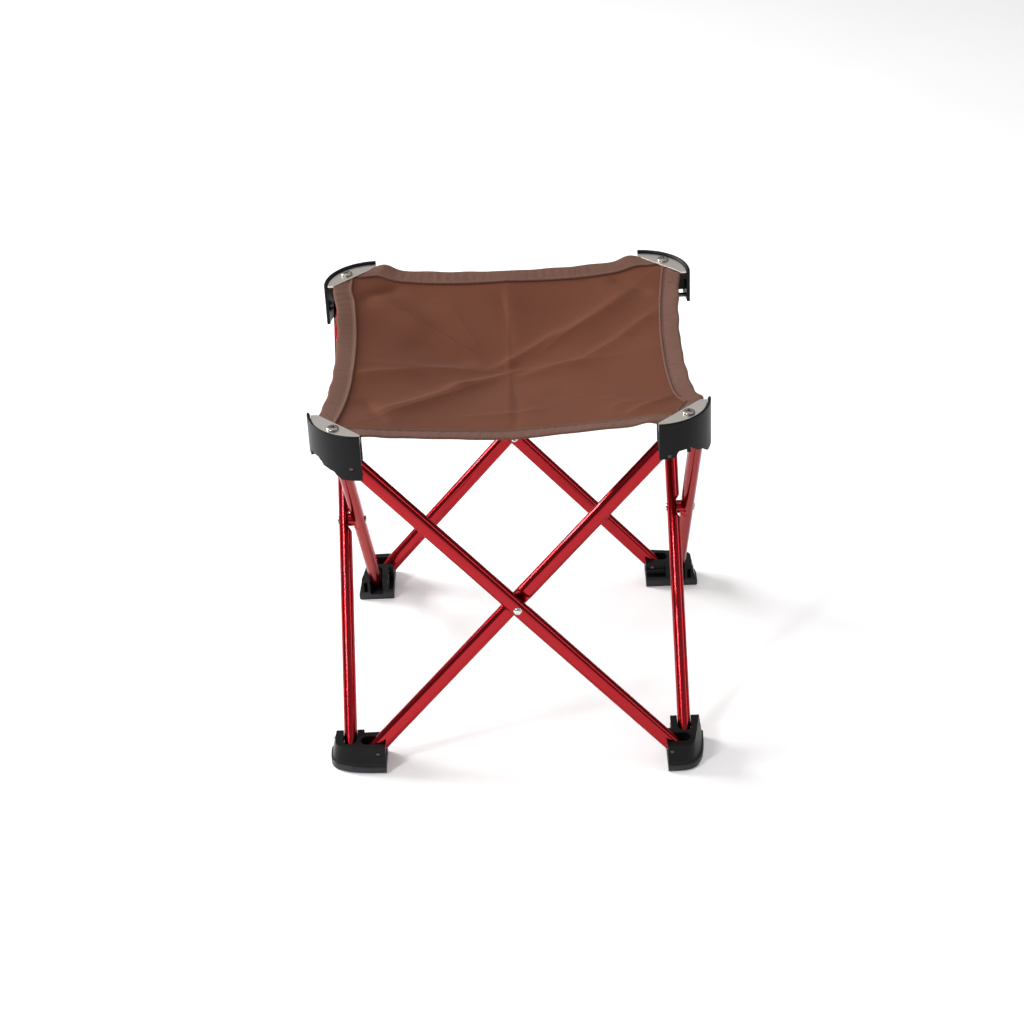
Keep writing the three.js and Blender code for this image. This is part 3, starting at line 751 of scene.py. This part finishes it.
wall_there = math.sqrt(RING_OUT ** 2 - (PIN_BACK / MM) ** 2) + 0.05
pins = {
    "bracket_pin_outer": hinge_pin("a", (back_pin, -wall_there, PIN_TOP), (back_pin, -21.2, PIN_TOP)),
    "bracket_pin_inner": hinge_pin("b", (-wall_there, back_pin, PIN_TOP), (-11, back_pin, PIN_TOP)),
    "foot_pin_inner": hinge_pin("c", (back_pin, -30.0, PIN_FLOOR), (back_pin, -9, PIN_FLOOR)),
    "foot_pin_outer": hinge_pin("d", (-40.7, back_pin, PIN_FLOOR), (-19, back_pin, PIN_FLOOR))}
# The pins' dark steel is painted shade, standing in for the shade of the holes round them.
for name, pin in pins.items():
    for k, corner in enumerate(CORNERS):
        body = f"{name.split('_')[0]}_{corner}"
        repeated(pin, f"{name}_{corner}_steel", k, painted_shade_pin_steel, body, [f"{name}_{corner}"])

# %% [markdown]
# ## The seat's surface
# The seat is one square of canvas, cut off at its corners and held there, so that it hangs between
# four straight clamps. It is drawn as eight patches between the corner diagonals and the middle
# lines, where the real seat creases when the stool closes. In a patch, `s` runs from the diagonal
# to the edge and `t` from the middle line to the clamp.

# %% Seat surface
SEAT_CENTRE = 257.2
EDGE_MIDDLE = {"front": 273.4, "right": 276.0, "back": 280.0, "left": 276.0}
CLAMP_Z = 283.2
MIDDLE_OUT, CLAMP_IN, CLAMP_OUT = 124.6, 100.6, 130.6   # the edge's middle, and the clamp's ends
CLAMP_MID = (CLAMP_IN + CLAMP_OUT) / 2
# Soft folds in the cloth: start and end on the plan in millimetres, height, half width.
FOLDS = [
    ((-92, -82), (-34, -24), 1.5, 7.5), ((-40, -30), (4, 3), 1.5, 6.5), ((-14, 6), (40, 45), 1.3, 6.5),
    ((34, 40), (92, 88), 1.4, 8), ((6, -13), (50, 2), 1.2, 6), ((46, 0), (112, 54), 1.4, 7.5),
    ((-30, -80), (24, -70), 0.7, 5), ((-112, -26), (-66, -2), 0.9, 7), ((-60, -4), (-10, 4), 0.6, 8),
    ((84, -104), (112, -78), 1.3, 5), ((70, -86), (100, -84), 0.8, 5), ((78, 106), (108, 86), -1.2, 5),
    ((-112, 84), (-84, 112), -1.6, 7), ((-108, 96), (-60, 60), 0.9, 9), ((-104, -62), (-84, -96), -0.9, 6),
    ((-4, 100), (-2, 20), -0.9, 6), ((2, -20), (3, -110), -0.5, 5), ((60, 30), (100, 20), -0.5, 9),
    ((-50, 90), (-20, 30), 0.7, 12), ((30, -40), (70, -60), -0.7, 12), ((-70, 40), (-30, 10), -0.8, 14)]
FOLD_DEPTH = 1.6
# How each half of an edge leaves its middle: the power of its rise, the power of its way out, and
# a small flare beside the clamp (outwards, upwards), which the cloth makes where it is gathered.
EDGE_LINES = {
    ("front", False): (1.35, 2.1, 0.0, 0.8), ("front", True): (1.2, 3.6, 0.0, 2.6),
    ("right", False): (2.0, 2.1, 3.6, 0.8), ("right", True): (2.0, 2.1, 0.0, 0.0),
    ("back", False): (2.0, 2.4, 1.6, 2.4), ("back", True): (2.0, 2.4, 2.2, 3.2),
    ("left", False): (2.0, 2.1, 1.0, 0.6), ("left", True): (2.0, 2.1, 0.0, 0.0)}
FLARE_AT, FLARE_WIDTH = 0.93, 0.075


def folds_at(x, y):
    total = np.zeros_like(x)
    for (x0, y0), (x1, y1), height, width in FOLDS:
        dx, dy = x1 - x0, y1 - y0
        length = math.hypot(dx, dy)
        along = ((x - x0) * dx + (y - y0) * dy) / length ** 2
        off = ((x - x0) * dy - (y - y0) * dx) / length
        off = off + 3.0 * np.sin(along * 2.6 + x0 * 0.1)
        ends = np.clip(np.minimum(along + 0.18, 1.18 - along) / 0.4, 0, 1)
        ends = ends * ends * (3 - 2 * ends)
        # A fold in stretched cloth is steeper on one side than on the other.
        skew = np.where(off > 0, off / (width * 1.35), off / (width * 0.75))
        total += FOLD_DEPTH * height * ends * np.exp(-np.abs(skew) ** 1.5)
    return total


def edge_line(k, mirror, t):
    """How far along, how far out and how high the edge is, in millimetres, on one half of side k."""
    rise, way, out_flare, up_flare = EDGE_LINES[SIDES[k], mirror]
    flare = np.exp(-((t - FLARE_AT) / FLARE_WIDTH) ** 2)
    out = MIDDLE_OUT + (CLAMP_OUT - MIDDLE_OUT) * t ** way + out_flare * flare
    low = EDGE_MIDDLE[SIDES[k]]
    return CLAMP_IN * t, out, low + (CLAMP_Z - low) * t ** rise + up_flare * flare


def patch_points(k, mirror, s, t):
    """Points, in millimetres, of the seat's middle surface on one patch of side k."""
    edge_x, edge_out, z_edge = edge_line(k, mirror, t)
    x = CLAMP_MID * t * (1 - s) + edge_x * s
    out = CLAMP_MID * t * (1 - s) + edge_out * s
    rise = np.sqrt(t * t + 0.06 ** 2) - 0.06
    z_diagonal = SEAT_CENTRE + (CLAMP_Z - SEAT_CENTRE) * (rise / (math.sqrt(1 + 0.06 ** 2) - 0.06)) ** 1.12
    power = 1.08 + 0.75 * np.clip(t * 1.6, 0, 1)
    z = z_diagonal + (z_edge - z_diagonal) * s ** power
    x = x * (1 if mirror else -1)
    turn = k * math.pi / 2
    px = math.cos(turn) * x + math.sin(turn) * out
    py = math.sin(turn) * x - math.cos(turn) * out
    near_edge = np.clip((1 - s) * np.hypot(edge_x - CLAMP_MID * t, edge_out - CLAMP_MID * t) / 22, 0, 1)
    near_clamp = np.clip((1 - t) * 100 / 14, 0, 1)
    calm = 0.25 + 0.75 * near_edge
    z = z + folds_at(px, py) * calm * near_clamp * near_clamp * (3 - 2 * near_clamp)
    return np.stack([px, py, z], -1)


def patch_normals(k, mirror, s, t, step=0.004):
    s0, s1 = np.clip(s - step, 0, 1), np.clip(s + step, 0, 1)
    t0, t1 = np.clip(t - step, 0.002, 1), np.clip(t + step, 0.004, 1)
    clear = np.clip(t, 0.004, 1)
    along = patch_points(k, mirror, s1, clear) - patch_points(k, mirror, s0, clear)
    across = patch_points(k, mirror, s, t1) - patch_points(k, mirror, s, t0)
    normal = np.cross(along, across)
    normal /= np.linalg.norm(normal, axis=-1, keepdims=True) + 1e-12
    return normal * np.sign(normal[..., 2:3])


# %% [markdown]
# ## The canvas
# Each patch is a closed thin shell with its own UV map, the flat cut in decimetres. The eight
# patches share their border points and their normals there, so at rest the seat is one smooth
# cloth.

# %% Canvas patches
ROWS, COLUMNS, CANVAS_HALF = 90, 90, 0.4
DECIMETRES = 10                              # UV units in a metre of cloth
grid_s, grid_t = np.meshgrid(np.linspace(0, 1, ROWS + 1), np.linspace(0, 1, COLUMNS + 1), indexing="ij")
patches, shared = {}, {}
for k in range(4):
    for mirror in (False, True):
        points = patch_points(k, mirror, grid_s, grid_t)
        du, dv = np.gradient(points, axis=0), np.gradient(points, axis=1)
        face_area = np.cross(du, dv)
        face_area *= np.sign(face_area[ROWS // 2, COLUMNS // 2, 2])
        patches[k, mirror] = points, face_area
        for i, j in [(i, j) for i in range(ROWS + 1) for j in (0, COLUMNS)] + [
                (i, j) for j in range(COLUMNS + 1) for i in (0, ROWS)]:
            key = tuple(np.round(points[i, j], 3))
            unit = face_area[i, j] / (np.linalg.norm(face_area[i, j]) + 1e-12)
            shared[key] = shared.get(key, 0) + unit


def canvas_patch(name, points, area):
    unit = area / (np.linalg.norm(area, axis=-1, keepdims=True) + 1e-12)
    for i in range(ROWS + 1):
        for j in ((0, COLUMNS) if 0 < i < ROWS else range(COLUMNS + 1)):
            total = shared[tuple(np.round(points[i, j], 3))]
            unit[i, j] = total / (np.linalg.norm(total) + 1e-12)
    flip = np.cross(points[1, 1] - points[0, 1], points[1, 2] - points[1, 1])[2] < 0
    count = (ROWS + 1) * (COLUMNS + 1)
    verts = np.concatenate([(points + unit * CANVAS_HALF).reshape(-1, 3),
                            (points - unit * CANVAS_HALF).reshape(-1, 3)])

    def at(i, j):
        return i * (COLUMNS + 1) + j

    faces = []
    for i in range(ROWS):
        for j in range(COLUMNS):
            quad = (at(i, j), at(i + 1, j), at(i + 1, j + 1), at(i, j + 1))
            quad = quad[::-1] if flip else quad
            faces.append(quad)
            faces.append(tuple(count + q for q in quad[::-1]))
    ring = [at(i, 0) for i in range(ROWS)] + [at(ROWS, j) for j in range(COLUMNS)] + [
        at(i, COLUMNS) for i in range(ROWS, 0, -1)] + [at(0, j) for j in range(COLUMNS, 0, -1)]
    for a, b in zip(ring, ring[1:] + ring[:1]):
        quad = (a, a + count, b + count, b)
        faces.append(quad[::-1] if flip else quad)
    piece = piece_from(name, verts * MM, faces)
    cut = piece.data.uv_layers.new(name="cut")
    flat = points.reshape(-1, 3)[:, :2] * MM * DECIMETRES
    loops = np.empty(len(piece.data.loops), int)
    piece.data.loops.foreach_get("vertex_index", loops)
    cut.data.foreach_set("uv", flat[loops % count].astype(np.float32).ravel())
    piece.data.polygons.foreach_set("use_smooth", [True] * len(piece.data.polygons))
    normals = np.concatenate([unit.reshape(-1, 3), -unit.reshape(-1, 3)])[loops]
    rim = 2 * ROWS * COLUMNS * 4
    sides = np.repeat([tuple(p.normal) for p in piece.data.polygons[2 * ROWS * COLUMNS:]], 4, axis=0)
    normals[rim:] = sides
    piece.data.normals_split_custom_set([tuple(n) for n in normals])
    piece.data.materials.append(canvas_brown)
    return piece


def corner_and_way(k, mirror):
    return (CORNERS[(k + 1) % 4], "before") if mirror else (CORNERS[k], "after")


def bend_line(k, mirror):
    """Two points across the crease between the corner facet and the side facet."""
    corner, way = corner_and_way(k, mirror)
    joint = joints[f"seat_crease_{way}_{corner}"]
    pivot, axis = Vector(joint["pos_m"]), Vector(joint["axis"]).normalized()
    across = axis.cross(Vector((0, 0, 1))).normalized()
    middle = Matrix.Rotation(k * math.pi / 2, 3, "Z") @ Vector((0, -MIDDLE_OUT * MM, 0.27))
    if (middle - pivot).dot(across) < 0:
        across = -across
    return corner, way, pivot - across * 0.2 * MM, pivot + across * 7 * MM


canvas_pieces = {}
for (k, mirror), (points, area) in patches.items():
    corner, way, start, end = bend_line(k, mirror)
    piece = canvas_patch(f"canvas_{way}_{corner}", points, area)
    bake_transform(piece)
    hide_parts(f"seat_{way}_{corner}", *([f"seat_corner_{corner}"] if way == "after" else []))
    canvas_pieces[k, mirror] = piece
print("canvas points", sum(len(p.data.vertices) for p in canvas_pieces.values()))

# %% [markdown]
# ## Binding
# A tape folded over each cut edge binds it: about 14 mm shows on top, ending in a small ridge where
# the tape is turned under, with the stitches just outside it. It is a thin U-shaped shell swept
# along the edge, following the canvas. Half of each side's tape goes with each facet.

# %% Binding
TAPE = 14.0
OUTER_SKIN = [(14.0, 0.55), (14.1, 1.1), (13.75, 1.7), (13.1, 1.95), (12.5, 1.7), (12.1, 1.15),
              (11.4, 0.92), (9.5, 1.08), (7, 1.16), (4.5, 1.18), (2.5, 1.15), (1.0, 1.05),
              (0.1, 0.8), (-0.35, 0.4), (-0.45, 0), (-0.35, -0.4), (0.1, -0.8), (1.0, -1.0),
              (4, -1.0), (8, -0.95), (12.4, -0.95), (13.0, -0.75)]
INNER_SKIN = [(12.9, -0.5), (8, -0.5), (2.0, -0.5), (1.2, -0.2), (1.2, 0.2), (2.0, 0.5), (8, 0.5),
              (13.6, 0.5)]
PROFILE = OUTER_SKIN + INNER_SKIN
TAPE_STEPS = 84


def along_edge(k, mirror, t, inward, height):
    """A point at a distance in from the edge and a height over the canvas."""
    edge_x, edge_out, _ = edge_line(k, mirror, t)
    run, fall = edge_x - CLAMP_MID * t, edge_out - CLAMP_MID * t
    length = np.hypot(run, fall)
    rise = edge_line(k, mirror, t + 0.002)[1] - edge_line(k, mirror, np.abs(t - 0.002))[1]
    slope = rise / (CLAMP_IN * 0.004)
    square = np.abs(fall - run * slope) / length / np.hypot(1, slope)
    s = 1 - inward / (length * square)
    inside = np.clip(s, 0, 1)
    point = patch_points(k, mirror, inside, t)
    normal = patch_normals(k, mirror, inside, t)
    beyond = (s - inside)[..., None]
    if np.any(beyond > 0):
        out = (patch_points(k, mirror, np.ones_like(s), t)
               - patch_points(k, mirror, np.full_like(s, 0.98), t))
        point = point + out / 0.02 * np.maximum(beyond, 0)
    return point + normal * (np.zeros_like(t) + height)[..., None]


for (k, mirror), cloth in canvas_pieces.items():
    corner, way = corner_and_way(k, mirror)
    t = np.linspace(0, 0.999, TAPE_STEPS + 1)
    rows = []
    for inward, height in PROFILE:
        # The tape is never quite even: it swells and pinches a little between stitches.
        swell = edge_wave = 0
        if 0 < inward < 12 and height > 0.8:
            swell = 0.10 * np.sin(t * 95 + k) * np.clip(t * 8, 0, 1)
        if inward < 2:
            edge_wave = (0.35 * np.sin(t * 21 + 2 * k + mirror) * np.clip(t * 4, 0, 1)
                         * np.clip((1 - t) * 8, 0, 1))
        rows.append(along_edge(k, mirror, t, np.full_like(t, inward) + edge_wave, height + swell))
    rings = [[tuple(row[j] * MM) for row in rows] for j in range(TAPE_STEPS + 1)]
    tape = loft(f"binding_{way}_{corner}", rings)
    reach = np.concatenate([[0], np.cumsum(np.hypot(*np.diff(np.array(PROFILE), axis=0).T))])
    lay = tape.data.uv_layers.new(name="lay")
    place = {tuple(np.round(p, 6)): (j * 1.2 / TAPE_STEPS, reach[i] * MM * 10) for j, ring in enumerate(rings)
             for i, p in enumerate(ring)}
    for loop in tape.data.loops:
        key = tuple(np.round(tape.data.vertices[loop.vertex_index].co, 6))
        lay.data[loop.index].uv = place.get(key, (0, 0))
    smooth(tape, 60)
    tape.data.materials.append(tape_brown)
    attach(tape, f"seat_{way}_{corner}")
    canvas_pieces[k, mirror] = (cloth, tape)

# %% [markdown]
# ## Stitches
# The thread shows as a row of short raised stitches along the binding. A Geometry Nodes tree lays
# them: it samples a path at even steps, sets one small stitch at each, turned along the path, and
# makes them real.

# %% Stitch tree
STITCH_SHAPE = [(0, -1.05), (0.14, -0.98), (0.24, -0.7), (0.27, 0), (0.24, 0.7), (0.14, 0.98), (0, 1.05)]
stitch_master = turned("stitch", [(r * MM, h * MM) for r, h in STITCH_SHAPE], (0, 0, 0), (0, 0, 1), 6)
for polygon in stitch_master.data.polygons:
    polygon.use_smooth = True
stitch_tree, pitch_input, stitch_input, thread_input = shape_tree(
    "stitch_row", Pitch="Float", Stitch="Object", Thread="Material")
given = stitch_tree.nodes.new("NodeGroupInput")
path = node(stitch_tree, "GeometryNodeMeshToCurve", {"Mesh": given.outputs["Geometry"]})
even = node(stitch_tree, "GeometryNodeResampleCurve", {
    "Curve": path.outputs[0], "Length": given.outputs["Pitch"]}, mode="LENGTH")
tangent = stitch_tree.nodes.new("GeometryNodeInputTangent")
facing = node(stitch_tree, "FunctionNodeAlignRotationToVector", {"Vector": tangent.outputs[0]}, axis="Z")
one = node(stitch_tree, "GeometryNodeObjectInfo", {"Object": given.outputs["Stitch"]})
laid = node(stitch_tree, "GeometryNodeInstanceOnPoints", {
    "Points": even.outputs[0], "Instance": one.outputs["Geometry"], "Rotation": facing.outputs[0]})
real = node(stitch_tree, "GeometryNodeRealizeInstances", {"Geometry": laid.outputs[0]})
painted = node(stitch_tree, "GeometryNodeSetMaterial", {
    "Geometry": real.outputs[0], "Material": given.outputs["Thread"]})
stitch_tree.links.new(painted.outputs[0], stitch_tree.nodes.new("NodeGroupOutput").inputs[0])

# %% Stitch rows
STITCH_PITCH = 2.9 * MM
STITCH_INWARD, STITCH_HEIGHT = 11.45, 0.98   # from the edge, and over the canvas
for (k, mirror), (cloth, tape) in canvas_pieces.items():
    corner, way = corner_and_way(k, mirror)
    t = np.linspace(0.012, 0.97, 120)
    line = along_edge(k, mirror, t, np.full_like(t, STITCH_INWARD), STITCH_HEIGHT) * MM
    row = bpy.data.meshes.new("row")
    row.from_pydata([tuple(p) for p in line], [(i, i + 1) for i in range(len(line) - 1)], [])
    stitches = bpy.data.objects.new(f"stitches_{way}_{corner}", row)
    bpy.context.scene.collection.objects.link(stitches)
    lay = stitches.modifiers.new("lay", "NODES")
    lay.node_group = stitch_tree
    lay[pitch_input.identifier] = STITCH_PITCH
    lay[stitch_input.identifier] = stitch_master
    lay[thread_input.identifier] = thread_brown
    settled(stitches)
    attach(stitches, f"seat_{way}_{corner}")
print("stitches in one row", len(stitches.data.vertices) // len(stitch_master.data.vertices))

# %% [markdown]
# ## Clamped corners
# Under each plate the canvas runs on across the shelf, and its cut edge shows as a thin dark line.

# %% Clamped corners
TAB_SIZE = 0.985                             # of the plate's arc
tab_outline = [(u * TAB_SIZE, v * TAB_SIZE) for u, v in arc_points] + [
    (-CUT - 0.4, chord_line + CUT), (chord_line + CUT, -CUT - 0.4)]
tab = softened(prism("tab", [in_corner(u, v, 0)[:2] for u, v in tab_outline], SHELF_TOP + 0.1 * MM,
                     plate_low.z - 0.1 * MM), 0.15 * MM, 1)
lay = tab.data.uv_layers.new(name="cut") if not tab.data.uv_layers else tab.data.uv_layers[0]
for loop in tab.data.loops:
    lay.data[loop.index].uv = tab.data.vertices[loop.vertex_index].co.xy * DECIMETRES
for k, corner in enumerate(CORNERS):
    piece = repeated(tab, f"clamped_canvas_{corner}", k, canvas_brown, f"bracket_{corner}")
    area = sum(p.area for p in piece.data.polygons) / 2

# %% [markdown]
# ## Studio
# A pale seamless floor, a soft bright surround and four soft lights, as in a small product studio.

# %% Floor and lights
for master in [outer_leg, inner_leg, rivet, spacer, foot, bracket, plate, screw, tab,
               stitch_master, *pins.values()]:
    bpy.data.objects.remove(master)

floor = piece_from("floor", [(-6, -6, 0), (6, -6, 0), (6, 6, 0), (-6, 6, 0)], [(0, 1, 2, 3)])
floor.location.z = -0.0004
paper, tree, shader = finish("studio_paper", Roughness=0.9, Specular_IOR_Level=0.1)
coloured(tree, shader, grain(tree, "Object", 6, 2),
         [(0.3, (0.93, 0.93, 0.935)), (0.7, (0.95, 0.95, 0.955))])
shader.inputs["Emission Color"].default_value = (1, 1, 1, 1)
shader.inputs["Emission Strength"].default_value = 0.16
floor.data.materials.append(paper)

world = bpy.data.worlds.new("studio")
world.use_nodes = True
tree, backdrop = world.node_tree, world.node_tree.nodes["Background"]
direction = node(tree, "ShaderNodeSeparateXYZ", {
    0: tree.nodes.new("ShaderNodeTexCoord").outputs["Generated"]})
room = ramp(tree, direction.outputs["Z"],
            [(0.0, (0.14, 0.14, 0.15)), (0.3, (0.2, 0.2, 0.21)), (0.48, (0.66, 0.645, 0.63)),
             (0.62, (0.45, 0.45, 0.45)), (0.85, (0.3, 0.3, 0.3))])
seen = node(tree, "ShaderNodeMixRGB", {0: tree.nodes.new("ShaderNodeLightPath").outputs["Is Camera Ray"],
                                       1: room, 2: (0.97, 0.97, 0.97, 1)})
tree.links.new(seen.outputs[0], backdrop.inputs["Color"])
bpy.context.scene.world = world
bpy.context.scene.view_settings.view_transform = "Standard"


def soft_light(name, at, towards, size, power):
    lamp = bpy.data.objects.new(name, bpy.data.lights.new(name, "AREA"))
    lamp.data.shape, lamp.data.size, lamp.data.size_y = "RECTANGLE", size[0], size[1]
    lamp.data.energy = power
    lamp.location = at
    lamp.rotation_euler = (Vector(towards) - Vector(at)).to_track_quat("-Z", "Y").to_euler()
    bpy.context.scene.collection.objects.link(lamp)


soft_light("overhead", (0.1, 0.3, 2.0), (0, 0, 0.1), (2.2, 1.6), 10)
soft_light("key_left", (-1.75, 0.75, 0.95), (0, 0, 0.25), (0.9, 0.6), 52)
soft_light("front_left", (-1.15, -1.0, 1.5), (0, 0, 0.2), (0.09, 0.7), 15)
soft_light("fill_right", (1.8, -0.6, 0.9), (0, 0, 0.15), (0.3, 1.2), 3)
